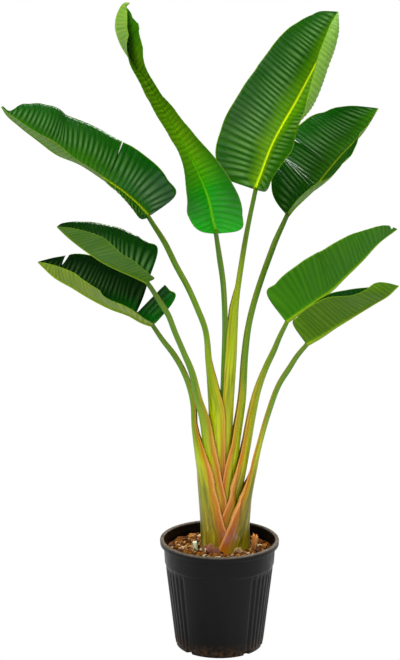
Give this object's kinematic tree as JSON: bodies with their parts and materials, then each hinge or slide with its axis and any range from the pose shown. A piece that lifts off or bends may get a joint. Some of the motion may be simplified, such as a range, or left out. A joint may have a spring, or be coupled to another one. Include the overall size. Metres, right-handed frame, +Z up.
{
  "type": "potted bird of paradise",
  "caption": "Bird of paradise house plant: a fan of paddle leaves on long sheathed stalks, rooted in a bark mix in a plain black nursery pot.",
  "frame": {"origin": "centre of the pot's flat underside, which stands on the floor", "axes": "+Z up the pot's axis, +X to the right along the fan of leaves, +Y across the fan to the back"},
  "size_m": [0.832, 0.4746, 1.3955],
  "materials": {
    "pot": "satin",
    "potting_mix": "matte",
    "bark_chip": "matte",
    "leaf_stalk": "satin",
    "leaf_blade": "gloss",
    "green_stub": "matte",
    "dry_sheath": "matte"
  },
  "bodies": {
    "root": {"pot": "pot", "potting_mix": "potting_mix", "leaf_stalk_1": "leaf_stalk", "leaf_stalk_2": "leaf_stalk", "leaf_stalk_3": "leaf_stalk", "leaf_stalk_4": "leaf_stalk", "leaf_stalk_5": "leaf_stalk", "leaf_stalk_6": "leaf_stalk", "leaf_stalk_7": "leaf_stalk", "leaf_stalk_8": "leaf_stalk", "leaf_blade_1": "leaf_blade", "leaf_blade_2": "leaf_blade", "leaf_blade_3": "leaf_blade", "leaf_blade_4": "leaf_blade", "leaf_blade_5": "leaf_blade", "leaf_blade_6": "leaf_blade", "leaf_blade_7": "leaf_blade", "leaf_blade_8": "leaf_blade", "green_stalk_stub": "green_stub", "dried_stalk_stub": "dry_sheath", "outer_sheath_remnant": "dry_sheath", "dry_sheath_scrap": "dry_sheath", "bark_chip_1": "bark_chip", "bark_chip_2": "bark_chip", "bark_chip_3": "bark_chip", "bark_chip_4": "bark_chip", "bark_chip_5": "bark_chip", "bark_chip_6": "bark_chip", "bark_chip_7": "bark_chip", "bark_chip_8": "bark_chip"}
  },
  "joints": []
}
